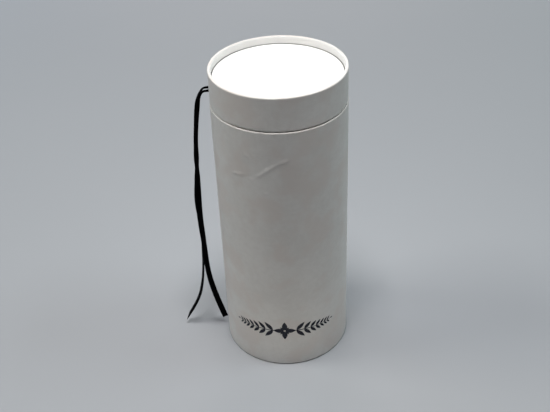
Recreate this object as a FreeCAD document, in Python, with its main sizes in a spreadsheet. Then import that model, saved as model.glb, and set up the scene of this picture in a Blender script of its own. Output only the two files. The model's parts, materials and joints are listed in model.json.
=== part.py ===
"""Round paperboard gift tube with a lift-off shoulder lid and a ribbon, in millimetres.

The origin is the centre of the face that the tube stands on, and +Z is up the
tube's axis. The printed front faces -Y and the ribbon hangs on the -X side.
"""
import FreeCAD, Part
import Sketcher
import math
import os

Vec = FreeCAD.Vector
doc = FreeCAD.newDocument("RibbonTube")

# Driving sizes: alias, value, meaning.
DRIVING = [
    ("outer_diameter", 125.0, "outside of the wrapped tube and lid"),
    ("total_height", 305.0, "floor to the top of the lid's rim"),
    ("lid_height", 31.9, "lid's outer band, rim to lower edge"),
    ("seam_gap", 0.8, "open line between lid and body"),
    ("lid_set_in", 0.4, "radial, the lid's outside within the body's"),
    ("wrap_paper", 0.3, "cover paper on the outside"),
    ("liner_paper", 0.2, "lining paper on the inside"),
    ("edge_round", 1.0, "rounding of the wrapped tube ends at the seam and the rim"),
    ("foot_round", 1.6, "rounding of the wrapped end that stands on the floor"),
    ("lid_wall", 2.2, "lid tube's board"),
    ("recess_depth", 7.4, "rim down to the top face"),
    ("top_thickness", 2.0, "lid's top board"),
    ("top_round", 0.8, "rounding of the covered top's edge"),
    ("joint_gap", 0.4, "open line round the covered top and the base paper"),
    ("turn_clearance", 0.6, "ribbon down to the end of the paper turned up inside the lid"),
    ("neck_clearance", 0.75, "radial, neck to lid lining"),
    ("neck_wall", 1.6, "neck tube's board"),
    ("neck_headroom", 2.4, "neck's top edge to the lid's lined ceiling"),
    ("neck_round", 0.6, "rounding of the neck's top edge"),
    ("neck_turn_in", 12.0, "neck's paper turned down inside"),
    ("base_recess", 3.0, "floor up to the base paper"),
    ("base_thickness", 2.0, "base board"),
    ("hole_diameter", 4.6, "punched ribbon holes"),
    ("hole_rise", 8.6, "ribbon holes above the lid's lower edge"),
    ("hole_front", 1.4, "front hole, towards the back from the side line"),
    ("hole_spacing", 6.6, "front hole to back hole"),
    ("ribbon_width", 6.0, "flat ribbon's width"),
    ("ribbon_thickness", 0.4, "ribbon lying against the lid's lining"),
    ("ribbon_gather", 4.0, "ribbon gathered up where it goes through a hole"),
    ("ribbon_standoff", 0.1, "gathered ribbon standing out past the tube's outside"),
]

# Sizes worked out from those above: alias, formula.
DERIVED = [
    ("outer_radius", "outer_diameter / 2"),
    ("board_radius", "outer_radius - wrap_paper"),
    ("board_round", "edge_round - wrap_paper"),
    ("foot_board_round", "foot_round - wrap_paper"),
    ("lid_outside", "outer_radius - lid_set_in"),
    ("lid_board_radius", "lid_outside - wrap_paper"),
    ("lid_bore", "lid_board_radius - lid_wall"),
    ("recess_radius", "lid_bore - wrap_paper"),
    ("lid_inside", "lid_bore - liner_paper"),
    ("top_radius", "recess_radius - joint_gap"),
    ("top_board_radius", "top_radius - wrap_paper"),
    ("top_board_round", "top_round - wrap_paper"),
    ("neck_outside", "lid_inside - neck_clearance"),
    ("neck_board", "neck_outside - liner_paper"),
    ("neck_bore", "neck_board - neck_wall"),
    ("neck_inside", "neck_bore - liner_paper"),
    ("neck_board_round", "neck_round - liner_paper"),
    ("base_radius", "neck_outside - wrap_paper"),
    ("base_paper_radius", "base_radius - joint_gap"),
    ("rim_board_z", "total_height - wrap_paper"),
    ("recess_z", "total_height - recess_depth"),
    ("top_board_z", "recess_z - wrap_paper"),
    ("top_under_z", "top_board_z - top_thickness"),
    ("lid_ceiling_z", "top_under_z - liner_paper"),
    ("lid_edge_z", "total_height - lid_height"),
    ("lid_board_z", "lid_edge_z + wrap_paper"),
    ("hole_back", "hole_front + hole_spacing"),
    ("hole_z", "lid_edge_z + hole_rise"),
    ("lid_turn_z", "hole_z - ribbon_width / 2 - turn_clearance"),
    ("body_top_z", "lid_edge_z - seam_gap"),
    ("body_board_z", "body_top_z - wrap_paper"),
    ("neck_top_z", "lid_ceiling_z - neck_headroom"),
    ("neck_board_z", "neck_top_z - liner_paper"),
    ("neck_turn_z", "neck_top_z - neck_turn_in"),
    ("base_under_z", "base_recess + wrap_paper"),
    ("base_inside_z", "base_under_z + base_thickness"),
    ("base_liner_z", "base_inside_z + liner_paper"),
    ("ribbon_inside", "lid_inside - ribbon_thickness"),
    ("ribbon_span", "hole_spacing + ribbon_width"),
    ("ribbon_reach", "outer_radius + ribbon_standoff"),
]

sizes = doc.addObject("Spreadsheet::Sheet", "sizes")
for row, (alias, value, meaning) in enumerate(DRIVING, start=1):
    sizes.set(f"A{row}", alias)
    sizes.set(f"B{row}", str(value))
    sizes.set(f"C{row}", meaning)
    sizes.setAlias(f"B{row}", alias)
for row, (alias, formula) in enumerate(DERIVED, start=len(DRIVING) + 1):
    sizes.set(f"A{row}", alias)
    sizes.set(f"B{row}", "=" + formula)
    sizes.setAlias(f"B{row}", alias)
doc.recompute()


def size(alias):
    return float(sizes.get(alias))


# ---- turned pieces -------------------------------------------------------

AXIS = "axis"      # a corner on the tube's axis
FLOOR = "floor"    # a corner in the plane that the tube stands on
START, END, CENTRE = 1, 2, 3   # a sketch line's or arc's points
ORIGIN, H_AXIS, V_AXIS = -1, -1, -2


def origin_plane(body, role):
    return [f for f in body.Origin.OriginFeatures if f.Role == role][0]


def coordinate(alias):
    return 0.0 if alias in (AXIS, FLOOR) else size(alias)


def shifted(alias, step, rounding):
    """Formula for an alias moved by a corner's rounding, or None where it is zero."""
    start = None if alias in (AXIS, FLOOR) else f"sizes.{alias}"
    if rounding is None or round(step) == 0:
        return start
    sign = "+" if step > 0 else "-"
    return f"{start or '0'} {sign} sizes.{rounding}"


def pin(sketch, line, end, axis_type, formula, value):
    """Hold one coordinate of a line's end: on an axis, or at a formula's value."""
    if formula is None:
        other_axis = V_AXIS if axis_type == "DistanceX" else H_AXIS
        sketch.addConstraint(Sketcher.Constraint("PointOnObject", line, end, other_axis))
        return
    index = sketch.addConstraint(Sketcher.Constraint(axis_type, ORIGIN, START, line, end, value))
    sketch.setExpression(f"Constraints[{index}]", formula)


def outline(sketch, corners):
    """Closed outline of upright and level lines, with the named corners rounded.

    corners is a list of (radius alias, height alias, rounding alias or None).
    """
    points = [Vec(coordinate(r), coordinate(z), 0) for r, z, _ in corners]
    count = len(corners)
    ends = []
    for k, (r, z, rounding) in enumerate(corners):
        back = (points[k - 1] - points[k]).normalize()
        ahead = (points[(k + 1) % count] - points[k]).normalize()
        reach = size(rounding) if rounding else 0.0
        for way in (back, ahead):
            place = points[k] + way * reach
            ends.append((place, shifted(r, way.x, rounding), shifted(z, way.y, rounding)))
    lines = []
    for k in range(count):
        leave, arrive = ends[2 * k + 1], ends[(2 * k + 2) % (2 * count)]
        line = sketch.addGeometry(Part.LineSegment(leave[0], arrive[0]), False)
        lines.append(line)
    for k, (r, z, rounding) in enumerate(corners):
        arriving, leaving = lines[k - 1], lines[k]
        enter, leave = ends[2 * k], ends[2 * k + 1]
        pin(sketch, arriving, END, "DistanceX", enter[1], enter[0].x)
        pin(sketch, arriving, END, "DistanceY", enter[2], enter[0].y)
        if not rounding:
            sketch.addConstraint(Sketcher.Constraint("Coincident", arriving, END, leaving, START))
            continue
        pin(sketch, leaving, START, "DistanceX", leave[1], leave[0].x)
        pin(sketch, leaving, START, "DistanceY", leave[2], leave[0].y)
        centre = enter[0] + leave[0] - points[k]
        left_turn = (points[k] - enter[0]).cross(leave[0] - points[k]).z > 0
        first, last = (enter[0], leave[0]) if left_turn else (leave[0], enter[0])
        start_angle = math.atan2(first.y - centre.y, first.x - centre.x)
        end_angle = math.atan2(last.y - centre.y, last.x - centre.x)
        circle = Part.Circle(centre, Vec(0, 0, 1), size(rounding))
        arc = sketch.addGeometry(Part.ArcOfCircle(circle, start_angle, end_angle), False)
        near, far = (START, END) if left_turn else (END, START)
        sketch.addConstraint(Sketcher.Constraint("Coincident", arc, near, arriving, END))
        sketch.addConstraint(Sketcher.Constraint("Coincident", arc, far, leaving, START))
        index = sketch.addConstraint(Sketcher.Constraint("Radius", arc, size(rounding)))
        sketch.setExpression(f"Constraints[{index}]", f"sizes.{rounding}")


def turned(label, corners):
    """Body revolved round the tube's axis from an outline of radii and heights."""
    body = doc.addObject("PartDesign::Body", label + "_body")
    body.Label = label
    sketch = body.newObject("Sketcher::SketchObject", label + "_section")
    sketch.AttachmentSupport = [(origin_plane(body, "XZ_Plane"), "")]
    sketch.MapMode = "FlatFace"
    outline(sketch, corners)
    turn = body.newObject("PartDesign::Revolution", label + "_turn")
    turn.Profile = sketch
    turn.ReferenceAxis = (sketch, ["V_Axis"])
    turn.Angle = 360.0
    body.Tip = turn
    doc.recompute()
    return body


def punch_ribbon_holes(body):
    """Two level holes side by side through the wall on the -X side."""
    before = body.Shape.Volume
    sketch = body.newObject("Sketcher::SketchObject", body.Label + "_holes")
    sketch.AttachmentSupport = [(origin_plane(body, "YZ_Plane"), "")]
    sketch.MapMode = "FlatFace"
    for alias in ("hole_front", "hole_back"):
        centre = Vec(size(alias), size("hole_z"), 0)
        circle = Part.Circle(centre, Vec(0, 0, 1), size("hole_diameter") / 2)
        ring = sketch.addGeometry(circle, False)
        place = (ORIGIN, START, ring, CENTRE)
        across = sketch.addConstraint(Sketcher.Constraint("DistanceX", *place, centre.x))
        up = sketch.addConstraint(Sketcher.Constraint("DistanceY", *place, centre.y))
        wide = sketch.addConstraint(Sketcher.Constraint("Diameter", ring, size("hole_diameter")))
        sketch.setExpression(f"Constraints[{across}]", f"sizes.{alias}")
        sketch.setExpression(f"Constraints[{up}]", "sizes.hole_z")
        sketch.setExpression(f"Constraints[{wide}]", "sizes.hole_diameter")
    pocket = body.newObject("PartDesign::Pocket", body.Label + "_punch")
    pocket.Profile = sketch
    pocket.Type = "Length"
    pocket.setExpression("Length", "sizes.outer_diameter")
    body.Tip = pocket
    doc.recompute()
    if body.Shape.Volume >= before:
        raise RuntimeError(f"{body.Label}: the ribbon holes cut nothing")


# ---- lid -----------------------------------------------------------------

def make_lid():
    board = turned("lid_board_tube", [
        ("lid_board_radius", "lid_board_z", "board_round"),
        ("lid_board_radius", "rim_board_z", "board_round"),
        ("lid_bore", "rim_board_z", "board_round"),
        ("lid_bore", "lid_board_z", "board_round"),
    ])
    # Down the recess wall, over the rim, down the outside and turned up inside.
    wrap = turned("lid_outer_wrap", [
        ("lid_outside", "lid_edge_z", "edge_round"),
        ("lid_outside", "total_height", "edge_round"),
        ("recess_radius", "total_height", "edge_round"),
        ("recess_radius", "top_under_z", None),
        ("lid_bore", "top_under_z", None),
        ("lid_bore", "rim_board_z", "board_round"),
        ("lid_board_radius", "rim_board_z", "board_round"),
        ("lid_board_radius", "lid_board_z", "board_round"),
        ("lid_bore", "lid_board_z", "board_round"),
        ("lid_bore", "lid_turn_z", None),
        ("recess_radius", "lid_turn_z", None),
        ("recess_radius", "lid_edge_z", "edge_round"),
    ])
    top = turned("lid_top_board", [
        (AXIS, "top_under_z", None),
        ("top_board_radius", "top_under_z", None),
        ("top_board_radius", "top_board_z", "top_board_round"),
        (AXIS, "top_board_z", None),
    ])
    # Cover paper over the top board and down its edge.
    face = turned("lid_top_paper", [
        (AXIS, "top_board_z", None),
        ("top_board_radius", "top_board_z", "top_board_round"),
        ("top_board_radius", "top_under_z", None),
        ("top_radius", "top_under_z", None),
        ("top_radius", "recess_z", "top_round"),
        (AXIS, "recess_z", None),
    ])
    band = turned("lid_liner_band", [
        ("lid_inside", "lid_turn_z", None),
        ("lid_bore", "lid_turn_z", None),
        ("lid_bore", "top_under_z", None),
        ("lid_inside", "top_under_z", None),
    ])
    disc = turned("lid_liner_disc", [
        (AXIS, "lid_ceiling_z", None),
        ("lid_inside", "lid_ceiling_z", None),
        ("lid_inside", "top_under_z", None),
        (AXIS, "top_under_z", None),
    ])
    for walled in (board, wrap, band):
        punch_ribbon_holes(walled)
    return [board, wrap, top, face, band, disc]


# ---- body ----------------------------------------------------------------

def make_box():
    board = turned("body_board_tube", [
        ("board_radius", "wrap_paper", "foot_board_round"),
        ("board_radius", "body_board_z", "board_round"),
        ("neck_outside", "body_board_z", None),
        ("neck_outside", "wrap_paper", "foot_board_round"),
    ])
    # Over the top edge as far as the neck, and turned up inside the lower end.
    wrap = turned("body_outer_wrap", [
        ("outer_radius", FLOOR, "foot_round"),
        ("outer_radius", "body_top_z", "edge_round"),
        ("neck_outside", "body_top_z", None),
        ("neck_outside", "body_board_z", None),
        ("board_radius", "body_board_z", "board_round"),
        ("board_radius", "wrap_paper", "foot_board_round"),
        ("neck_outside", "wrap_paper", "foot_board_round"),
        ("neck_outside", "base_inside_z", None),
        ("base_radius", "base_inside_z", None),
        ("base_radius", FLOOR, "foot_round"),
    ])
    neck = turned("neck_tube", [
        ("neck_board", "base_inside_z", None),
        ("neck_board", "neck_board_z", "neck_board_round"),
        ("neck_bore", "neck_board_z", "neck_board_round"),
        ("neck_bore", "base_inside_z", None),
    ])
    neck_paper = turned("neck_wrap", [
        ("neck_outside", "base_inside_z", None),
        ("neck_outside", "neck_top_z", "neck_round"),
        ("neck_inside", "neck_top_z", "neck_round"),
        ("neck_inside", "neck_turn_z", None),
        ("neck_bore", "neck_turn_z", None),
        ("neck_bore", "neck_board_z", "neck_board_round"),
        ("neck_board", "neck_board_z", "neck_board_round"),
        ("neck_board", "base_inside_z", None),
    ])
    liner = turned("body_liner", [
        ("neck_inside", "base_inside_z", None),
        ("neck_bore", "base_inside_z", None),
        ("neck_bore", "neck_turn_z", None),
        ("neck_inside", "neck_turn_z", None),
    ])
    base = turned("base_board", [
        (AXIS, "base_under_z", None),
        ("base_radius", "base_under_z", None),
        ("base_radius", "base_inside_z", None),
        (AXIS, "base_inside_z", None),
    ])
    base_face = turned("base_paper", [
        (AXIS, "base_recess", None),
        ("base_paper_radius", "base_recess", None),
        ("base_paper_radius", "base_under_z", None),
        (AXIS, "base_under_z", None),
    ])
    base_liner = turned("base_liner_disc", [
        (AXIS, "base_inside_z", None),
        ("neck_inside", "base_inside_z", None),
        ("neck_inside", "base_liner_z", None),
        (AXIS, "base_liner_z", None),
    ])
    return [board, wrap, neck, neck_paper, liner, base, base_face, base_liner]


# ---- ribbon --------------------------------------------------------------

def bound(kind, name, formulas):
    """Primitive whose properties follow formulas over the sheet."""
    item = doc.addObject(kind, name)
    for prop, formula in formulas.items():
        item.setExpression(prop, formula)
    return item


def make_ribbon_span():
    """Ribbon flat against the lining between the holes, gathered through each one."""
    band = bound("Part::Box", "span_block", {
        "Length": "sizes.outer_radius",
        "Width": "sizes.ribbon_span",
        "Height": "sizes.ribbon_width",
        "Placement.Base.x": "-sizes.outer_radius",
        "Placement.Base.y": "sizes.hole_front - sizes.ribbon_width / 2",
        "Placement.Base.z": "sizes.hole_z - sizes.ribbon_width / 2",
    })
    lining = bound("Part::Cylinder", "span_outer_face", {
        "Radius": "sizes.lid_inside",
        "Height": "sizes.total_height",
    })
    hollow = bound("Part::Cylinder", "span_inner_face", {
        "Radius": "sizes.ribbon_inside",
        "Height": "sizes.total_height",
    })
    flat = doc.addObject("Part::MultiCommon", "span_flat")
    flat.Shapes = [band, lining]
    pieces = [flat]
    for name, place in (("front", "sizes.hole_front"), ("back", "sizes.hole_back")):
        gather = bound("Part::Cylinder", "span_gather_" + name, {
            "Radius": "sizes.ribbon_gather / 2",
            "Height": "sizes.ribbon_reach",
            "Placement.Base.y": place,
            "Placement.Base.z": "sizes.hole_z",
        })
        gather.Placement.Rotation = FreeCAD.Rotation(Vec(0, 1, 0), -90)
        pieces.append(gather)
    whole = doc.addObject("Part::MultiFuse", "span_whole")
    whole.Shapes = pieces
    span = doc.addObject("Part::Cut", "ribbon_inner_span")
    span.Base = whole
    span.Tool = hollow
    doc.recompute()
    return span


# Points of the two hanging strands, from the hole to the cut end.
STRAND_FRONT = [
    (-62.6, 1.4, 281.7), (-67.1, 1.4, 281.7), (-71.2, 1.3, 278.6), (-73.3, 1.2, 271.4),
    (-74.7, 1.1, 262.0), (-76.9, 0.9, 247.0), (-79.1, 0.6, 226.0), (-80.4, 0.3, 191.0),
    (-82.4, 0.1, 148.0), (-80.7, 0.3, 110.0), (-80.1, 0.8, 74.0), (-74.4, 1.9, 40.0),
    (-66.2, 3.0, 8.8),
]
STRAND_BACK = [
    (-62.6, 8.0, 281.7), (-66.6, 8.0, 281.7), (-70.2, 8.0, 279.1), (-72.8, 7.9, 273.7),
    (-74.9, 7.8, 265.8), (-77.3, 7.7, 250.5), (-79.7, 7.5, 224.0), (-81.6, 7.2, 188.0),
    (-85.4, 7.1, 156.0), (-81.9, 7.0, 121.0), (-83.9, 6.9, 88.0), (-86.4, 6.6, 58.0),
    (-93.6, 6.3, 29.4), (-108.4, 6.0, 6.2),
]
ARC_SHARE = 0.45   # part of the shorter run that an arc may use


def strand_path(label, route):
    """Straight runs joined by the largest tangent arcs that the runs allow."""
    points = [Vec(*p) for p in route]
    edges = []
    radii = []
    at = points[0]
    for before, corner, after in zip(points, points[1:], points[2:]):
        back = before - corner
        ahead = after - corner
        trim = ARC_SHARE * min(back.Length, ahead.Length)
        turn = math.pi - back.getAngle(ahead)
        radii.append(trim / math.tan(turn / 2))
        back.normalize()
        ahead.normalize()
        enter = corner + back * trim
        leave = corner + ahead * trim
        inward = (back + ahead).normalize()
        middle_offset = trim / math.cos(turn / 2) * (1 - math.cos(turn / 2)) / math.sin(turn / 2)
        middle = corner + inward * middle_offset
        edges.append(Part.LineSegment(at, enter).toShape())
        edges.append(Part.Arc(enter, middle, leave).toShape())
        at = leave
    edges.append(Part.LineSegment(at, points[-1]).toShape())
    path = Part.Wire(edges)
    print(f"{label}: length {path.Length:.1f}, radii " + " ".join(f"{r:.0f}" for r in radii))
    return path, (points[1] - points[0])


def make_strand(label, route):
    """Plain solid that the ribbon's width sweeps along its route."""
    path, start_way = strand_path(label, route)
    radius = size("ribbon_width") / 2
    ring = Part.Wire(Part.makeCircle(radius, Vec(*route[0]), start_way))
    solid = path.makePipeShell([ring], True, True)
    expected = math.pi * radius ** 2 * path.Length
    if abs(solid.Volume / expected - 1) > 0.01:
        raise RuntimeError(f"{label}: volume {solid.Volume:.0f}, expected {expected:.0f}")
    strand = doc.addObject("Part::Feature", label)
    strand.Shape = solid
    return strand


# ---- the whole tube ------------------------------------------------------

pieces = make_lid() + make_box()
pieces.append(make_ribbon_span())
pieces.append(make_strand("ribbon_strand_front", STRAND_FRONT))
pieces.append(make_strand("ribbon_strand_back", STRAND_BACK))
doc.recompute()

for item in doc.Objects:
    if "Invalid" in item.State or "Error" in item.State:
        raise RuntimeError(f"{item.Label}: {item.State}")
for piece in pieces:
    shape = piece.Shape
    if shape.isNull() or not shape.isValid() or len(shape.Solids) != 1:
        raise RuntimeError(f"{piece.Label}: not one valid solid")

os.makedirs("parts", exist_ok=True)
for piece in pieces:
    piece.Shape.exportStep(f"parts/{piece.Label}.step")
    box = piece.Shape.BoundBox
    print(f"{piece.Label}: {piece.Shape.Volume:.0f} mm3, z {box.ZMin:.1f} to {box.ZMax:.1f}")
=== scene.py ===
import json
import math
import bmesh
import bpy
from mathutils import Matrix, Vector, noise


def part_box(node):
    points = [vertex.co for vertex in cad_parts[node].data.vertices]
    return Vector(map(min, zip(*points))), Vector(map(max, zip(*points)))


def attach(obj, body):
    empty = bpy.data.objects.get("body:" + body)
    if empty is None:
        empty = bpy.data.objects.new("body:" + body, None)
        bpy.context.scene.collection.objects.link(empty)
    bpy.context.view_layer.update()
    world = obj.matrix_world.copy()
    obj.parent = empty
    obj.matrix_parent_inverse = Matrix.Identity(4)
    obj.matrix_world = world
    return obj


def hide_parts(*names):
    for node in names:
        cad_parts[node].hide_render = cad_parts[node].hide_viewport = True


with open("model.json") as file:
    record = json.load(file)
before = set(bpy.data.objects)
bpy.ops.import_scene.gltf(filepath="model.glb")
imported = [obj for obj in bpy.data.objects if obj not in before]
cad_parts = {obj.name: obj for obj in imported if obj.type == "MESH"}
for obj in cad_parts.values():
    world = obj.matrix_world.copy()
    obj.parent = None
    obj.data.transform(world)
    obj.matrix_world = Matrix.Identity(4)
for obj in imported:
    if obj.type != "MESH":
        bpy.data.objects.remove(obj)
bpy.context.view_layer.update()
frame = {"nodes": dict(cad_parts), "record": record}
mm = 0.001
scene = bpy.context.scene


# Camera, floor and light.

studio = {
    "cameraPlace": (0.0, -0.6980, 0.6488),
    "cameraTurn": 0.653,        # degrees to the left of +Y
    "cameraDip": 35.354,        # degrees below level
    "cameraRoll": -2.599,
    "lens": 57.43,
    "floorSize": 6.0,
    "ambient": 0.005,
    # name, place, aim, size in metres, power in watts, colour
    "softboxes": [
        ("overheadSoftbox", (0, -0.15, 1.1), (0, -0.15, 0), (0.22, 0.22), 6.0, (1.0, 0.985, 0.99)),
        ("leftSoftbox", (-1.2, 0, 1.7), (-1.2, 0, 0), (0.6, 0.6), 13.1, (0.99, 1.0, 0.95)),
        ("rightSoftbox", (1.2, 0, 1.7), (1.2, 0, 0), (0.6, 0.6), 8.6, (0.87, 0.98, 1.0)),
        ("backSoftbox", (0, 1.8, 0.6), (0, 0, 0.2), (1.0, 1.0), 10.0, (1.0, 0.94, 0.94)),
        ("backLeftSoftbox", (-1.3, 1.3, 0.6), (0, 0, 0.2), (1.0, 1.0), 6.2, (0.66, 0.84, 1.0)),
        ("backRightSoftbox", (1.3, 1.3, 0.6), (0, 0, 0.2), (1.0, 1.0), 5.8, (0.82, 0.98, 1.0)),
        ("floorBounce", (0, -0.15, 0.002), (0, -0.15, 1), (0.2, 0.12), 0.026, (1.0, 0.92, 0.78)),
    ],
}


def makeCamera():
    data = bpy.data.cameras.new("camera")
    data.lens = studio["lens"]
    data.sensor_width = 36
    camera = bpy.data.objects.new("camera", data)
    scene.collection.objects.link(camera)
    turn = Matrix.Rotation(math.radians(studio["cameraTurn"]), 4, "Z")
    dip = Matrix.Rotation(math.radians(90 - studio["cameraDip"]), 4, "X")
    roll = Matrix.Rotation(math.radians(studio["cameraRoll"]), 4, "Z")
    camera.matrix_world = Matrix.Translation(studio["cameraPlace"]) @ turn @ dip @ roll
    scene.camera = camera


def makeSoftbox(name, place, target, size, power, colour):
    data = bpy.data.lights.new(name, "AREA")
    data.shape = "RECTANGLE"
    data.size, data.size_y = size
    data.energy = power
    data.color = colour
    light = bpy.data.objects.new(name, data)
    scene.collection.objects.link(light)
    light.location = place
    light.rotation_euler = (Vector(target) - Vector(place)).to_track_quat("-Z", "Y").to_euler()
    light.visible_camera = False


makeCamera()
print("camera set")


# The ribbon's two hanging strands.

# The route of each strand, in millimetres, from its hole in the lid to its cut end.
frontStrandRoute = [
    (-62.6, 1.4, 281.7), (-67.1, 1.4, 281.7), (-71.2, 1.3, 278.6), (-73.3, 1.2, 271.4),
    (-74.7, 1.1, 262.0), (-76.9, 0.9, 247.0), (-79.1, 0.6, 226.0), (-80.4, 0.3, 191.0),
    (-82.4, 0.1, 148.0), (-80.7, 0.3, 110.0), (-80.1, 0.8, 74.0), (-74.4, 1.9, 40.0),
    (-66.2, 3.0, 8.8),
]
backStrandRoute = [
    (-62.6, 8.0, 281.7), (-66.6, 8.0, 281.7), (-70.2, 8.0, 279.1), (-72.8, 7.9, 273.7),
    (-74.9, 7.8, 265.8), (-77.3, 7.7, 250.5), (-79.7, 7.5, 224.0), (-81.6, 7.2, 188.0),
    (-85.4, 7.1, 156.0), (-81.9, 7.0, 121.0), (-83.9, 6.9, 88.0), (-86.4, 6.6, 58.0),
    (-93.6, 6.3, 29.4), (-108.4, 6.0, 6.2),
]

ribbon = {
    "width": 6.0 * mm,
    "thickness": 0.34 * mm,
    "rowLength": 0.7 * mm,
    "across": 10,
    "leastRows": 8,
    "leastCurl": 0.01,          # radians, so that a flat ribbon still has a bend radius
    "curveSteps": 24,
    # share of the strand's length and the angle in degrees from the X axis to its width
    "frontTwist": [(0, 90), (0.05, 58), (0.08, 45), (0.16, 50), (0.22, 52), (0.27, 44), (0.31, 58),
                   (0.36, 38), (0.46, 15), (0.56, 34), (0.65, 44), (0.74, 40), (0.85, 34), (0.93, 28),
                   (1, 6)],
    "backTwist": [(0, 90), (0.05, 120), (0.08, 132), (0.16, 128), (0.22, 126), (0.27, 132), (0.31, 120),
                  (0.36, 135), (0.46, 136), (0.56, 128), (0.65, 120), (0.74, 112), (0.85, 113), (0.92, 104),
                  (1, 96)],
    # share of the length and how far the width tips down towards the back, in degrees
    "tip": [(0, 35), (0.03, 25), (0.07, 0), (1, 0)],
    # share of the length and how far round the width is curled, in degrees
    "curl": [(0, 175), (0.02, 150), (0.05, 60), (0.1, 26), (0.4, 14), (0.9, 10), (1, 18)],
    "frontCut": 0.6 * mm,       # how far the cut end slants
    "backCut": 7.0 * mm,
    "cutFade": 15 * mm,
}


def routeLine(name, route):
    curve = bpy.data.curves.new(name, "CURVE")
    curve.dimensions = "3D"
    curve.resolution_u = ribbon["curveSteps"]
    spline = curve.splines.new("NURBS")
    spline.points.add(len(route) - 1)
    for point, (x, y, z) in zip(spline.points, route):
        point.co = (x * mm, y * mm, z * mm, 1)
    spline.order_u = 3
    spline.use_endpoint_u = True
    holder = bpy.data.objects.new(name, curve)
    mesh = bpy.data.meshes.new_from_object(holder)
    line = [v.co.copy() for v in mesh.vertices]
    bpy.data.objects.remove(holder)
    bpy.data.curves.remove(curve)
    bpy.data.meshes.remove(mesh)
    return line


def runningLengths(line):
    lengths = [0.0]
    for before, after in zip(line, line[1:]):
        lengths.append(lengths[-1] + (after - before).length)
    return lengths


def alongLine(line, lengths, distance):
    distance = min(max(distance, 0.0), lengths[-1])
    k = 1
    while k < len(lengths) - 1 and lengths[k] < distance:
        k += 1
    share = (distance - lengths[k - 1]) / max(lengths[k] - lengths[k - 1], 1e-12)
    place = line[k - 1].lerp(line[k], share)
    before = line[max(k - 2, 0)]
    after = line[min(k + 1, len(line) - 1)]
    return place, (after - before).normalized()


def eased(keys, share):
    for (a, first), (b, second) in zip(keys, keys[1:]):
        if share <= b:
            t = (share - a) / (b - a)
            t = t * t * (3 - 2 * t)
            return first + (second - first) * t
    return keys[-1][1]


def ribbonMesh(name, line, widthWay, curlKeys, cut):
    lengths = runningLengths(line)
    whole = lengths[-1]
    rows = max(ribbon["leastRows"], round(whole / ribbon["rowLength"]))
    bm = bmesh.new()
    bmesh.ops.create_grid(bm, x_segments=rows, y_segments=ribbon["across"], size=0.5)
    uvLayer = bm.loops.layers.uv.new("weave")
    spot = {}
    for v in bm.verts:
        share, across = v.co.x + 0.5, v.co.y
        fromEnd = whole * (1 - share)
        skew = cut * (0.5 + across) * max(0.0, 1 - fromEnd / ribbon["cutFade"])
        distance = share * whole - skew
        spot[v] = (distance, across * ribbon["width"])
        place, way = alongLine(line, lengths, distance)
        side = widthWay(distance / whole)
        side = (side - way * side.dot(way)).normalized()
        outward = way.cross(side)
        curl = math.radians(eased(curlKeys, distance / whole))
        if abs(curl) < ribbon["leastCurl"]:
            curl = ribbon["leastCurl"]
        bendRadius = ribbon["width"] / curl
        angle = curl * across
        depth = bendRadius * (0.5 - math.cos(angle) + 0.5 * math.cos(curl / 2))
        v.co = place + side * bendRadius * math.sin(angle) + outward * depth
    for face in bm.faces:
        for loop in face.loops:
            loop[uvLayer].uv = spot[loop.vert]
    mesh = bpy.data.meshes.new(name)
    bm.to_mesh(mesh)
    bm.free()
    piece = bpy.data.objects.new(name, mesh)
    scene.collection.objects.link(piece)
    for polygon in mesh.polygons:
        polygon.use_smooth = True
    thicken = piece.modifiers.new("cloth", "SOLIDIFY")
    thicken.thickness = ribbon["thickness"]
    thicken.offset = 0
    return piece


def hangingStrand(name, route, twist, cut, node):
    line = routeLine(name, route)

    def widthWay(share):
        angle = math.radians(eased(twist, share))
        tip = math.radians(eased(ribbon["tip"], share))
        return Vector((math.cos(angle) * math.cos(tip), math.sin(angle) * math.cos(tip), -math.sin(tip)))

    strand = ribbonMesh(name, line, widthWay, ribbon["curl"], cut)
    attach(strand, "lid")
    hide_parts(node)
    return strand


frontStrand = hangingStrand("frontStrand", frontStrandRoute, ribbon["frontTwist"], ribbon["frontCut"],
                            "ribbon_strand_front")
backStrand = hangingStrand("backStrand", backStrandRoute, ribbon["backTwist"], ribbon["backCut"],
                           "ribbon_strand_back")
print("ribbon strands hung")


# Sizes read from the frame.

def outerRadius(node):
    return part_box(node)[1].x


def lowest(node):
    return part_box(node)[0].z


def highest(node):
    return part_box(node)[1].z


tubeRadius = outerRadius("body_outer_wrap")
boardRadius = outerRadius("body_board_tube")
paper = tubeRadius - boardRadius
bodyTop = highest("body_outer_wrap")
lidEdge = lowest("lid_outer_wrap")
rimTop = highest("lid_outer_wrap")
lidRadius = outerRadius("lid_outer_wrap")
lidBoardRadius = outerRadius("lid_board_tube")
lidBore = outerRadius("lid_liner_band")
lidInside = outerRadius("lid_liner_disc")
recessRadius = lidBore - paper
topRadius = outerRadius("lid_top_paper")
topFace = highest("lid_top_paper")
topUnder = lowest("lid_top_paper")
topBoardFace = highest("lid_top_board")
topBoardRadius = outerRadius("lid_top_board")
ceiling = lowest("lid_liner_disc")
lidTurn = lowest("lid_liner_band")
neckOutside = outerRadius("neck_wrap")
neckBoard = outerRadius("neck_tube")
neckTop = highest("neck_wrap")
neckBoardTop = highest("neck_tube")
lining = neckOutside - neckBoard
neckInside = outerRadius("base_liner_disc")
neckBore = neckInside + lining
neckTurn = highest("body_liner")
baseRadius = outerRadius("base_board")
basePaperRadius = outerRadius("base_paper")
baseUnder = lowest("base_board")
baseFace = lowest("base_paper")
baseInside = highest("base_board")
baseLining = highest("base_liner_disc")
edgeRound = 1.0 * mm
footRound = 1.6 * mm
topRound = 0.8 * mm
neckRound = 0.6 * mm
neckBoardRound = 0.4 * mm
basePaperRound = 0.15 * mm
print("sizes read")


# Shader building.

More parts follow.
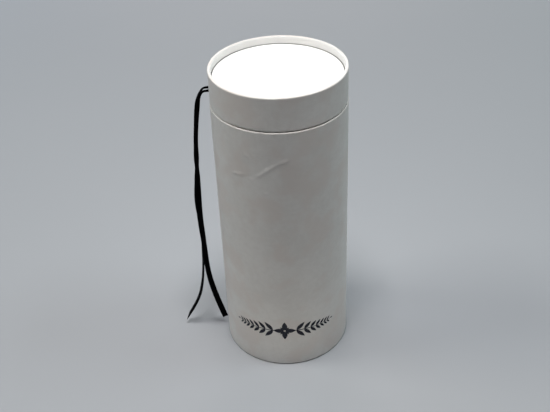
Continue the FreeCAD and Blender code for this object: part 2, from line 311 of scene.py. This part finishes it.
class Link:

    def __init__(self, finish, socket):
        self.finish, self.socket = finish, socket

    def __add__(self, other):
        return self.finish.maths("ADD", self, other)

    def __radd__(self, other):
        return self.finish.maths("ADD", other, self)

    def __sub__(self, other):
        return self.finish.maths("SUBTRACT", self, other)

    def __rsub__(self, other):
        return self.finish.maths("SUBTRACT", other, self)

    def __mul__(self, other):
        return self.finish.maths("MULTIPLY", self, other)

    def __rmul__(self, other):
        return self.finish.maths("MULTIPLY", other, self)

    def __pow__(self, other):
        return self.finish.maths("POWER", self, other)


class Finish:

    def __init__(self, name):
        self.material = bpy.data.materials.new(name)
        self.material.use_nodes = True
        self.tree = self.material.node_tree
        self.tree.nodes.clear()
        self.surface = self.node("ShaderNodeBsdfPrincipled")
        self.node("ShaderNodeOutputMaterial", values={"Surface": self.output(self.surface, "BSDF")})

    def node(self, kind, settings=None, values=None):
        made = self.tree.nodes.new(kind)
        for name, value in (settings or {}).items():
            setattr(made, name, value)
        for name, value in (values or {}).items():
            self.feed(made.inputs[name], value)
        return made

    def feed(self, socket, value):
        if isinstance(value, Link):
            self.tree.links.new(value.socket, socket)
        elif socket.type == "RGBA" and len(value) == 3:
            socket.default_value = (*value, 1)
        else:
            socket.default_value = value

    def output(self, node, name):
        return Link(self, node.outputs[name])

    def maths(self, operation, first, second):
        return self.output(self.node("ShaderNodeMath", {"operation": operation}, {0: first, 1: second}), 0)

    def place(self):
        return self.output(self.node("ShaderNodeTexCoord"), "Object")

    def split(self, vector):
        parts = self.node("ShaderNodeSeparateXYZ", values={"Vector": vector})
        return [self.output(parts, axis) for axis in "XYZ"]

    def noise(self, vector, scale, detail=3.0, rough=0.55):
        made = self.node("ShaderNodeTexNoise", values={
            "Vector": vector, "Scale": scale, "Detail": detail, "Roughness": rough})
        return self.output(made, "Fac")

    def stretched(self, vector, scale):
        made = self.node("ShaderNodeMapping", values={"Vector": vector, "Scale": scale})
        return self.output(made, "Vector")

    def smooth(self, value, low, high):
        made = self.node("ShaderNodeMapRange", {"interpolation_type": "SMOOTHSTEP"}, {
            "Value": value, "From Min": low, "From Max": high})
        return self.output(made, "Result")

    def blend(self, share, first, second):
        made = self.node("ShaderNodeMix", {"data_type": "RGBA"}, {0: share, 6: first, 7: second})
        return self.output(made, 2)

    def bump(self, height, distance, strength=1.0, under=None):
        values = {"Height": height, "Distance": distance, "Strength": strength}
        if under:
            values["Normal"] = under
        return self.output(self.node("ShaderNodeBump", values=values), "Normal")

    def set(self, **values):
        for name, value in values.items():
            self.feed(self.surface.inputs[name.replace("_", " ")], value)
        return self.material


def coverPaper():
    # look also holds the colour of the painted shade in the lid's joint and the painted contact shadow along
    # the foot
    look = {"pale": (0.858, 0.834, 0.80), "dull": (0.782, 0.754, 0.718), "warm": (0.80, 0.735, 0.69),
            "paintedBouncePale": (0.93, 0.92, 0.90), "stain": (0.62, 0.59, 0.53), "shade": (0.10, 0.095, 0.085),
            "cloudScale": 22, "mottleScale": 210, "fibreScale": 1500, "pitScale": 620, "warmScale": 31,
            "warmShare": 0.7, "stainShare": 0.28, "jointShadeShare": 0.6, "footShadowShare": 0.8,
            "mottleDepth": 0.07 * mm, "grainDepth": 0.05 * mm}
    f = Finish("coverPaper")
    place = f.place()
    x, y, height = f.split(place)
    radius = (x * x + y * y) ** 0.5
    clouds = f.noise(place, look["cloudScale"], 3)
    mottle = f.noise(place, look["mottleScale"], 4, 0.6)
    fibres = f.noise(f.stretched(place, (1, 1, 0.45)), look["fibreScale"], 3, 0.7)
    pitted = f.noise(place, look["pitScale"], 2)
    tone = f.smooth(clouds * 0.55 + mottle * 0.45, 0.36, 0.66)
    colour = f.blend(tone * 0.75 + fibres * 0.2, look["pale"], look["dull"])
    # handling marks fade away from the seam, where fingers lift the lid
    nearSeam = 1 - f.smooth(f.maths("ABSOLUTE", height - lidEdge, 0), 0.4 * mm, 7 * mm)
    colour = f.blend(nearSeam * f.smooth(mottle, 0.42, 0.72) * look["stainShare"], colour, look["stain"])
    warmth = f.smooth(f.noise(place, look["warmScale"], 2), 0.45, 0.65)
    colour = f.blend(warmth * look["warmShare"], colour, look["warm"])
    # painted bounce light: the sunken top and the wall round it are painted paler, as if lit by light thrown
    # back off the bright top
    sunken = f.smooth(height, topUnder - 0.2 * mm, topUnder) * (
        1 - f.smooth(radius, recessRadius + 0.1 * mm, recessRadius + 0.3 * mm))
    colour = f.blend(sunken, colour, look["paintedBouncePale"])
    # painted shade darkens the joint round the sunken top, and a painted contact shadow darkens the foot
    inJoint = f.smooth(radius, topRadius - 1.1 * mm, topRadius - 0.3 * mm) * (
        1 - f.smooth(radius, recessRadius + 0.1 * mm, recessRadius + 0.2 * mm))
    atTop = f.smooth(height, topFace - 3 * mm, topFace - 2 * mm) * (
        1 - f.smooth(height, topFace + 0.1 * mm, topFace + 0.6 * mm))
    atFoot = 1 - f.smooth(height, 0.7 * mm, 1.5 * mm)
    paintedShade = inJoint * atTop * look["jointShadeShare"] + atFoot * look["footShadowShare"]
    colour = f.blend(paintedShade, colour, look["shade"])
    dulled = f.bump(mottle, look["mottleDepth"], 0.5)
    grain = f.bump(fibres * 0.6 + pitted * 0.4, look["grainDepth"], 0.6, dulled)
    return f.set(Base_Color=colour, Roughness=0.56 + mottle * 0.16, Normal=grain, Specular_IOR_Level=0.32)


def liningPaper():
    look = {"pale": (0.80, 0.79, 0.77), "dull": (0.73, 0.72, 0.70), "mottleScale": 150, "fibreScale": 1100,
            "grainDepth": 0.06 * mm}
    f = Finish("liningPaper")
    place = f.place()
    mottle = f.noise(place, look["mottleScale"], 4)
    fibres = f.noise(f.stretched(place, (1, 1, 0.3)), look["fibreScale"], 3, 0.7)
    colour = f.blend(f.smooth(mottle, 0.35, 0.7) * 0.6 + fibres * 0.3, look["pale"], look["dull"])
    grain = f.bump(fibres, look["grainDepth"], 0.6)
    return f.set(Base_Color=colour, Roughness=0.72 + fibres * 0.12, Normal=grain, Specular_IOR_Level=0.25)


def tubeBoard():
    look = {"pale": (0.40, 0.33, 0.25), "dark": (0.27, 0.21, 0.15), "layerScale": 420, "fleckScale": 1700,
            "layerDepth": 0.1 * mm}
    f = Finish("tubeBoard")
    place = f.place()
    layers = f.noise(f.stretched(place, (1, 1, 6)), look["layerScale"], 3, 0.7)
    flecks = f.smooth(f.noise(place, look["fleckScale"], 2), 0.62, 0.72)
    colour = f.blend(layers * 0.8 + flecks * 0.3, look["pale"], look["dark"])
    return f.set(Base_Color=colour, Roughness=0.8 + layers * 0.12,
                 Normal=f.bump(layers, look["layerDepth"], 0.7), Specular_IOR_Level=0.2)


def ribbonWeave():
    look = {"black": (0.0006, 0.0006, 0.0009), "worn": (0.0018, 0.0018, 0.0024), "ribPitch": 0.62 * mm,
            "selvage": 0.35 * mm, "threadScale": 2600, "weaveDepth": 0.09 * mm}
    f = Finish("ribbonWeave")
    uv = f.output(f.node("ShaderNodeUVMap", {"uv_map": "weave"}), "UV")
    along, across, _ = f.split(uv)
    ribs = f.maths("SINE", along * (2 * math.pi / look["ribPitch"]), 0) * 0.5 + 0.5
    threads = f.noise(f.stretched(uv, (1, 7, 1)), look["threadScale"], 2)
    toEdge = 0.5 * ribbon["width"] - f.maths("ABSOLUTE", across, 0)
    selvage = 1 - f.smooth(toEdge, 0.5 * look["selvage"], 1.5 * look["selvage"])
    colour = f.blend(ribs * 0.45 + threads * 0.3 + selvage * 0.2, look["black"], look["worn"])
    height = ribs * (1 - selvage * 0.6) + selvage * 0.8 + threads * 0.25
    return f.set(Base_Color=colour, Roughness=0.66 + threads * 0.2,
                 Normal=f.bump(height, look["weaveDepth"], 0.8), Specular_IOR_Level=0.02)


def printInk():
    look = {"ink": (0.0025, 0.0035, 0.016), "thin": (0.008, 0.011, 0.038), "patchScale": 900,
            "filmDepth": 0.01 * mm}
    f = Finish("printInk")
    place = f.place()
    patchy = f.smooth(f.noise(place, look["patchScale"], 3), 0.5, 0.8)
    colour = f.blend(patchy * 0.5, look["ink"], look["thin"])
    return f.set(Base_Color=colour, Roughness=0.45 + patchy * 0.2,
                 Normal=f.bump(patchy, look["filmDepth"], 0.5), Specular_IOR_Level=0.25)


def studioFloor():
    look = {"pale": (0.462, 0.475, 0.498), "dull": (0.446, 0.459, 0.482)}
    f = Finish("studioFloor")
    place = f.place()
    colour = f.blend(f.noise(place, 3, 2), look["pale"], look["dull"])
    return f.set(Base_Color=colour, Roughness=0.8 + f.noise(place, 9, 2) * 0.1, Specular_IOR_Level=0.2)


finishes = {
    "board": tubeBoard(),
    "cover_paper": coverPaper(),
    "lining_paper": liningPaper(),
    "ribbon": ribbonWeave(),
}
ink = printInk()
for strand in (frontStrand, backStrand):
    strand.data.materials.append(finishes["ribbon"])
print("materials made")


# Turned paper pieces.

turning = {"roundingSteps": 5, "weld": 0.001 * mm, "sharpAngle": 50}   # the angle in degrees


def turned(name, corners, slotName, body, stands, rows=6 * mm, fineFrom=None, steps=192,
           startAngle=0.0, sweep=2 * math.pi, shape=None, coarse=30 * mm):
    bm = bmesh.new()
    verts = [bm.verts.new((radius, 0, height)) for radius, height, _ in corners]
    onAxis = [radius == 0 for radius, _, _ in corners]
    for k, vert in enumerate(verts):
        following = (k + 1) % len(verts)
        if not (onAxis[k] and onAxis[following]):
            bm.edges.new((vert, verts[following]))
    for rounding in sorted({r for _, _, r in corners if r}):
        soft = [vert for vert, (_, _, r) in zip(verts, corners) if r == rounding]
        bmesh.ops.bevel(bm, geom=soft, offset=rounding, offset_type="OFFSET", affect="VERTICES",
                        segments=turning["roundingSteps"], profile=0.5, material=-1)
    for edge in list(bm.edges):
        middle = (edge.verts[0].co + edge.verts[1].co) / 2
        step = rows if fineFrom is None or fineFrom(middle) else coarse
        cuts = math.ceil(edge.calc_length() / step) - 1
        if cuts > 0:
            bmesh.ops.subdivide_edges(bm, edges=[edge], cuts=cuts)
    bmesh.ops.rotate(bm, verts=bm.verts, cent=(0, 0, 0), matrix=Matrix.Rotation(startAngle, 3, "Z"))
    full = sweep >= 2 * math.pi - 1e-6
    bmesh.ops.spin(bm, geom=bm.verts[:] + bm.edges[:], cent=(0, 0, 0), axis=(0, 0, 1), angle=sweep,
                   steps=steps, use_merge=full)
    bmesh.ops.remove_doubles(bm, verts=bm.verts, dist=turning["weld"])
    if not full:
        open_ = [edge for edge in bm.edges if edge.is_boundary]
        bmesh.ops.holes_fill(bm, edges=open_, sides=0)
    bmesh.ops.recalc_face_normals(bm, faces=bm.faces)
    if shape:
        for vert in bm.verts:
            shape(vert)
    mesh = bpy.data.meshes.new(name)
    bm.to_mesh(mesh)
    bm.free()
    for polygon in mesh.polygons:
        polygon.use_smooth = True
    mesh.set_sharp_from_angle(angle=math.radians(turning["sharpAngle"]))
    piece = bpy.data.objects.new(name, mesh)
    scene.collection.objects.link(piece)
    mesh.materials.append(finishes[slotName])
    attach(piece, body)
    if stands:
        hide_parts(*stands)
    return piece


# Soft creases left by the glue under the body's paper: ends as (azimuth in degrees, height in mm).
creases = [
    {"from": (-135, 223.5), "to": (-120.5, 225.5), "height": 0.27, "width": 1.3},
    {"from": (-120.5, 225.5), "to": (-112, 226), "height": -0.20, "width": 1.2},
    {"from": (-112, 226), "to": (-103.5, 233), "height": 0.24, "width": 1.5},
    {"from": (-103.5, 233), "to": (-99.5, 236.5), "height": 0.31, "width": 1.6},
    {"from": (-99.5, 236.5), "to": (-90.5, 242.5), "height": 0.20, "width": 1.3},
    {"from": (-90.5, 242.5), "to": (-85, 244), "height": 0.31, "width": 1.3},
    {"from": (-107, 210), "to": (-100.5, 209), "height": 0.24, "width": 1.2},
    {"from": (-120, 249), "to": (-117.5, 245), "height": 0.27, "width": 1.8},
]
waves = {"broad": 0.10 * mm, "broadScale": 16.0, "small": 0.04 * mm, "smallScale": 75.0, "fade": 6 * mm,
         "wander": 1.6 * mm}
# how a crease's line wanders and how its height varies and dies away at its ends
uneven = {"wanderScale": 11, "aroundScale": 23, "upScale": 90, "mean": 1.25, "spread": 0.9, "ends": 0.35}


def creaseRise(angle, height):
    rise = 0.0
    for crease in creases:
        ax, az = math.radians(crease["from"][0]) * tubeRadius, crease["from"][1] * mm
        bx, bz = math.radians(crease["to"][0]) * tubeRadius, crease["to"][1] * mm
        spot = Vector((angle * uneven["wanderScale"], crease["from"][1], 4.0))
        wander = noise.noise(spot) * waves["wander"]
        px = angle * tubeRadius - ax
        pz = height - az - wander
        dx, dz = bx - ax, bz - az
        t = max(0.0, min(1.0, (px * dx + pz * dz) / (dx * dx + dz * dz)))
        gap = math.hypot(px - t * dx, pz - t * dz) / (crease["width"] * mm)
        spot = Vector((angle * uneven["aroundScale"], height * uneven["upScale"], 7.5))
        varied = uneven["mean"] + uneven["spread"] * noise.noise(spot)
        alongCrease = uneven["ends"] + (1 - uneven["ends"]) * math.sin(math.pi * t)
        rise += crease["height"] * mm * math.exp(-gap * gap) * alongCrease * varied
    return rise


def paperWave(angle, height, bottom, top, seed):
    fade = min(1.0, max(0.0, min(height - bottom, top - height) / waves["fade"]))
    spot = Vector((math.cos(angle) * tubeRadius, math.sin(angle) * tubeRadius, height))
    broad = noise.noise(spot * waves["broadScale"] + Vector((seed, 0, 0)))
    small = noise.noise(Vector((spot.x, spot.y, spot.z * 1.6)) * waves["smallScale"] + Vector((0, seed, 0)))
    return fade * (broad * waves["broad"] + small * waves["small"] - 0.6 * waves["broad"])


def moveOut(vert, amount):
    radius = math.hypot(vert.co.x, vert.co.y)
    vert.co.x *= (radius + amount) / radius
    vert.co.y *= (radius + amount) / radius


def bodyRise(angle, height):
    return paperWave(angle, height, 0, bodyTop, 3.1) + creaseRise(angle, height)


def lidRise(angle, height):
    return paperWave(angle, height, lidEdge, rimTop, 8.7)


def shapeBodyWrap(vert):
    if math.hypot(vert.co.x, vert.co.y) > tubeRadius - 0.001 * mm:
        moveOut(vert, bodyRise(math.atan2(vert.co.y, vert.co.x), vert.co.z))


pleats = {"reach": 3 * mm, "broad": 0.07 * mm, "broadScale": 26, "fine": 0.04 * mm,
          "fineScale": (120, 120, 200)}


def shapeLidWrap(vert):
    radius = math.hypot(vert.co.x, vert.co.y)
    angle = math.atan2(vert.co.y, vert.co.x)
    if radius > lidRadius - 0.001 * mm:
        moveOut(vert, lidRise(angle, vert.co.z))
    elif abs(radius - recessRadius) < 0.001 * mm and vert.co.z > topUnder + 0.1 * mm:
        # the paper turned down inside the rim lies in small uneven pleats
        down = min(1.0, (rimTop - vert.co.z) / pleats["reach"])
        scale = pleats["broadScale"]
        pleat = noise.noise(Vector((math.cos(angle) * scale, math.sin(angle) * scale, 2.2)))
        ripple = noise.noise(vert.co * Vector(pleats["fineScale"]))
        moveOut(vert, down * (pleats["broad"] * pleat + pleats["fine"] * ripple))


def onOutside(middle):
    return middle.x > tubeRadius - 0.01 * mm


turned("bodyWrap", [
    (tubeRadius, 0, footRound), (tubeRadius, bodyTop, edgeRound), (neckOutside, bodyTop, 0),
    (neckOutside, bodyTop - paper, 0), (boardRadius, bodyTop - paper, edgeRound - paper),
    (boardRadius, paper, footRound - paper), (neckOutside, paper, footRound - paper),
    (neckOutside, baseInside, 0), (baseRadius, baseInside, 0), (baseRadius, 0, footRound),
], "cover_paper", "box", ["body_outer_wrap"], rows=1.25 * mm, fineFrom=onOutside, steps=300,
    shape=shapeBodyWrap)

lidWrap = turned("lidWrap", [
    (lidRadius, lidEdge, edgeRound), (lidRadius, rimTop, edgeRound), (recessRadius, rimTop, edgeRound),
    (recessRadius, topUnder, 0), (lidBore, topUnder, 0), (lidBore, rimTop - paper, edgeRound - paper),
    (lidBoardRadius, rimTop - paper, edgeRound - paper),
    (lidBoardRadius, lidEdge + paper, edgeRound - paper),
    (lidBore, lidEdge + paper, edgeRound - paper), (lidBore, lidTurn, 0), (recessRadius, lidTurn, 0),
    (recessRadius, lidEdge, edgeRound),
], "cover_paper", "lid", ["lid_outer_wrap"], rows=1.4 * mm, steps=300, shape=shapeLidWrap)
print("cover papers wrapped")


holes = {"radius": 2.3 * mm, "depth": 12 * mm, "segments": 40}


def punchHoles(piece):
    for y in (frontStrandRoute[0][1], backStrandRoute[0][1]):
        bm = bmesh.new()
        bmesh.ops.create_cone(bm, cap_ends=True, segments=holes["segments"], radius1=holes["radius"],
                              radius2=holes["radius"], depth=holes["depth"])
        bmesh.ops.rotate(bm, verts=bm.verts, cent=(0, 0, 0), matrix=Matrix.Rotation(math.pi / 2, 3, "Y"))
        place = (-tubeRadius, y * mm, frontStrandRoute[0][2] * mm)
        bmesh.ops.translate(bm, verts=bm.verts, vec=place)
        mesh = bpy.data.meshes.new("punch")
        bm.to_mesh(mesh)
        bm.free()
        punch = bpy.data.objects.new("punch", mesh)
        scene.collection.objects.link(punch)
        cut = piece.modifiers.new("hole", "BOOLEAN")
        cut.operation = "DIFFERENCE"
        cut.solver = "EXACT"
        cut.object = punch
        cutMesh = bpy.data.meshes.new_from_object(piece.evaluated_get(bpy.context.evaluated_depsgraph_get()))
        piece.modifiers.clear()
        piece.data = cutMesh
        bpy.data.objects.remove(punch)


punchHoles(lidWrap)


topDip = {"edge": 9 * mm, "uneven": 0.05 * mm, "scales": (30, 95), "middle": 0.12 * mm, "all": 0.05 * mm}


def shapeTopFace(vert):
    radius = math.hypot(vert.co.x, vert.co.y)
    if vert.co.z > topFace - 0.01 * mm:
        inward = min(1.0, max(0.0, (topRadius - radius) / topDip["edge"]))
        swell = 0.5 + 0.5 * math.cos(math.pi * min(1.0, radius / topRadius))
        ripple = sum(noise.noise(vert.co * scale) for scale in topDip["scales"])
        vert.co.z += inward * topDip["uneven"] * ripple
        vert.co.z -= (topDip["middle"] * swell + topDip["all"]) * inward


turned("topPaper", [
    (0, topBoardFace, 0), (topBoardRadius, topBoardFace, topRound - paper), (topBoardRadius, topUnder, 0),
    (topRadius, topUnder, 0), (topRadius, topFace, topRound), (0, topFace, 0),
], "cover_paper", "lid", ["lid_top_paper"], rows=2.5 * mm, steps=240, shape=shapeTopFace)

lidLinerBand = turned("lidLinerBand", [
    (lidInside, lidTurn, 0), (lidBore, lidTurn, 0), (lidBore, topUnder, 0), (lidInside, topUnder, 0),
], "lining_paper", "lid", ["lid_liner_band"])
punchHoles(lidLinerBand)

turned("lidLinerDisc", [
    (0, ceiling, 0), (lidInside, ceiling, 0), (lidInside, topUnder, 0), (0, topUnder, 0),
], "lining_paper", "lid", ["lid_liner_disc"])

turned("neckWrap", [
    (neckOutside, baseInside, 0), (neckOutside, neckTop, neckRound), (neckInside, neckTop, neckRound),
    (neckInside, neckTurn, 0), (neckBore, neckTurn, 0), (neckBore, neckBoardTop, neckBoardRound),
    (neckBoard, neckBoardTop, neckBoardRound), (neckBoard, baseInside, 0),
], "lining_paper", "box", ["neck_wrap"])

turned("bodyLiner", [
    (neckInside, baseInside, 0), (neckBore, baseInside, 0), (neckBore, neckTurn, 0),
    (neckInside, neckTurn, 0),
], "lining_paper", "box", ["body_liner"])

turned("baseLiner", [
    (0, baseInside, 0), (neckInside, baseInside, 0), (neckInside, baseLining, 0), (0, baseLining, 0),
], "lining_paper", "box", ["base_liner_disc"])

turned("basePaper", [
    (0, baseFace, 0), (basePaperRadius, baseFace, basePaperRound), (basePaperRadius, baseUnder, 0),
    (0, baseUnder, 0),
], "cover_paper", "box", ["base_paper"])
print("linings made")


# Overlap seams of the papers, at the back.

seam = {"width": 11 * mm, "round": 0.1 * mm, "lift": 0.16 * mm, "sunk": 0.25 * mm,
        "bodyAngle": 97, "lidAngle": 74}     # degrees round the tube


def overlap(name, radius, bottom, top, centre, rise, body):
    sweep = seam["width"] / radius
    face, back = radius + seam["lift"], radius - seam["sunk"]

    def follow(vert):
        if math.hypot(vert.co.x, vert.co.y) > radius:
            moveOut(vert, rise(math.atan2(vert.co.y, vert.co.x), vert.co.z))

    turned(name, [
        (face, bottom + edgeRound, seam["round"]), (face, top - edgeRound, seam["round"]),
        (back, top - edgeRound, 0), (back, bottom + edgeRound, 0),
    ], "cover_paper", body, [], rows=2.2 * mm, steps=12, startAngle=math.radians(centre) - sweep / 2,
        sweep=sweep, shape=follow)


overlap("bodySeam", tubeRadius, 0, bodyTop, seam["bodyAngle"], bodyRise, "box")
overlap("lidSeam", lidRadius, lidEdge, rimTop, seam["lidAngle"], lidRise, "lid")
print("paper seams laid")


# Ribbon inside the lid.

insideRibbon = {
    "standOff": 0.25 * mm,      # ribbon's middle from the lining
    "turnStart": 0.2,           # mm past each hole's middle
    "turnEnd": 1.8,
    "tip": [(0, 35), (0.22, 90), (0.78, 90), (1, 35)],
    "curl": [(0, -175), (0.14, -140), (0.3, 8), (0.7, 8), (0.86, 140), (1, 175)],
}


def insideRoute():
    inner = lidInside - insideRibbon["standOff"]
    out, front, level = frontStrandRoute[0]
    back = backStrandRoute[0][1]
    start, end = insideRibbon["turnStart"], insideRibbon["turnEnd"]
    along = [front + start, front + end, (front + back) / 2, back - end, back - start]
    lining = [(-math.sqrt((inner / mm) ** 2 - y * y), y, level) for y in along]
    throat = (out - lidInside / mm) / 2
    wayIn = [(out, front, level), (throat, front, level)]
    wayOut = [(throat, back, level), (out, back, level)]
    return wayIn + lining + wayOut


def insideWidthWay(share):
    tip = math.radians(eased(insideRibbon["tip"], share))
    return Vector((0, math.cos(tip), -math.sin(tip)))


insideSpan = ribbonMesh("insideSpan", routeLine("insideSpan", insideRoute()), insideWidthWay,
                        insideRibbon["curl"], 0)
insideSpan.data.materials.append(finishes["ribbon"])
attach(insideSpan, "lid")
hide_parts("ribbon_inner_span")
print("ribbon threaded")


# Printed leaf garland on the front.

garland = {
    "azimuth": -93.0,       # degrees
    "height": 46 * mm,
    "sprayStart": 11.5 * mm,    # from the rosette's middle
    "sprayEnd": 49 * mm,
    "leafPairs": 7,
    "leafLength": 12.0 * mm,
    "leafWidth": 4.3 * mm,
    "shrink": 0.87,         # each leaf pair against the one before it
    "lean": 47.0,           # degrees between a leaf and the stem
    "petal": (10.5 * mm, 5.4 * mm),
    "point": (5.6 * mm, 2.8 * mm),
    "lift": 0.035 * mm,
    "film": 0.05 * mm,
    "stemWidth": 1.0 * mm,
    "stemTaper": 0.7,       # share of the stem's width lost at its tip
    "stemOverrun": 2 * mm,
    "leafGap": 0.6 * mm,    # from the stem's middle to the first leaf pair
    "petalGap": 0.8 * mm,
    "bud": (0.8, 0.36, 0.7),    # length against the last leaf, width and set-off against the length
}


def printedShape(bm, length, width, angle, centre, outline, columns=14):
    made = bmesh.ops.create_grid(bm, x_segments=columns, y_segments=4, size=0.5)["verts"]
    for vert in made:
        share = vert.co.x + 0.5
        vert.co = Vector((vert.co.x * length, vert.co.y * width * outline(share), 0))
    bmesh.ops.rotate(bm, verts=made, cent=(0, 0, 0), matrix=Matrix.Rotation(angle, 3, "Z"))
    bmesh.ops.translate(bm, verts=made, vec=(centre[0], centre[1], 0))


def leafOutline(share):
    return math.sin(math.pi * share ** 0.8) ** 0.9


def lozengeOutline(share):
    return 1 - abs(2 * share - 1)


def printedSpray(bm, side):
    start, end, shrink = garland["sprayStart"], garland["sprayEnd"], garland["shrink"]

    def stemOutline(share):
        fromRosette = share if side > 0 else 1 - share
        return 1 - garland["stemTaper"] * fromRosette

    printedShape(bm, end - start + garland["stemOverrun"], garland["stemWidth"], 0,
                 (side * (start + end) / 2, 0), stemOutline, 60)
    whole = 1 - shrink ** garland["leafPairs"]
    for k in range(garland["leafPairs"]):
        size = shrink ** k
        spot = start + (end - start) * (1 - size) / whole
        length, width = garland["leafLength"] * size, garland["leafWidth"] * size
        for up in (-1, 1):
            lean = math.radians(garland["lean"]) * up
            reach = length / 2 + garland["leafGap"] * size
            centre = (side * (spot + reach * math.cos(lean)), reach * math.sin(lean))
            angle = lean if side > 0 else math.pi - lean
            printedShape(bm, length, width, angle, centre, leafOutline)
    budLength, budWidth, budSetOff = garland["bud"]
    bud = garland["leafLength"] * size * budLength
    printedShape(bm, bud, bud * budWidth, 0, (side * (end + bud * budSetOff), 0), lozengeOutline, 8)


def printedRosette(bm):
    for k in range(4):
        for (length, width), turn, outline in ((garland["petal"], 0, leafOutline),
                                               (garland["point"], math.pi / 4, lozengeOutline)):
            angle = math.pi / 2 * k + turn
            reach = length / 2 + garland["petalGap"]
            centre = (reach * math.cos(angle), reach * math.sin(angle))
            printedShape(bm, length, width, angle, centre, outline)


def makeGarland():
    bm = bmesh.new()
    for side in (-1, 1):
        printedSpray(bm, side)
    printedRosette(bm)
    bmesh.ops.remove_doubles(bm, verts=bm.verts, dist=0.002 * mm)
    bmesh.ops.dissolve_degenerate(bm, edges=bm.edges, dist=0.001 * mm)
    for vert in bm.verts:
        angle = math.radians(garland["azimuth"]) + vert.co.x / tubeRadius
        height = garland["height"] + vert.co.y
        radius = tubeRadius + garland["lift"] + bodyRise(angle, height)
        vert.co = Vector((math.cos(angle) * radius, math.sin(angle) * radius, height))
    bmesh.ops.recalc_face_normals(bm, faces=bm.faces)
    mesh = bpy.data.meshes.new("frontGarland")
    bm.to_mesh(mesh)
    bm.free()
    piece = bpy.data.objects.new("frontGarland", mesh)
    scene.collection.objects.link(piece)
    mesh.materials.append(ink)
    thicken = piece.modifiers.new("inkFilm", "SOLIDIFY")
    thicken.thickness = garland["film"]
    thicken.offset = -1
    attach(piece, "box")
    return piece


makeGarland()
print("garland printed")


# CAD pieces that stay.

slots = {part["node"]: part["material_slot"] for part in frame["record"]["subparts"]}
for nodeName, node in frame["nodes"].items():
    node.data.materials.clear()
    node.data.materials.append(finishes[slots[nodeName]])


# Floor and lights.

floorMesh = bpy.data.meshes.new("floor")
bm = bmesh.new()
bmesh.ops.create_grid(bm, x_segments=1, y_segments=1, size=studio["floorSize"] / 2)
bm.to_mesh(floorMesh)
bm.free()
floor = bpy.data.objects.new("floor", floorMesh)
scene.collection.objects.link(floor)
floorMesh.materials.append(studioFloor())

for softbox in studio["softboxes"]:
    makeSoftbox(*softbox)

world = bpy.data.worlds.new("studio")
world.use_nodes = True
world.node_tree.nodes["Background"].inputs["Color"].default_value = (1, 1, 1, 1)
world.node_tree.nodes["Background"].inputs["Strength"].default_value = studio["ambient"]
scene.world = world
scene.view_settings.view_transform = "Standard"
print("studio lit")
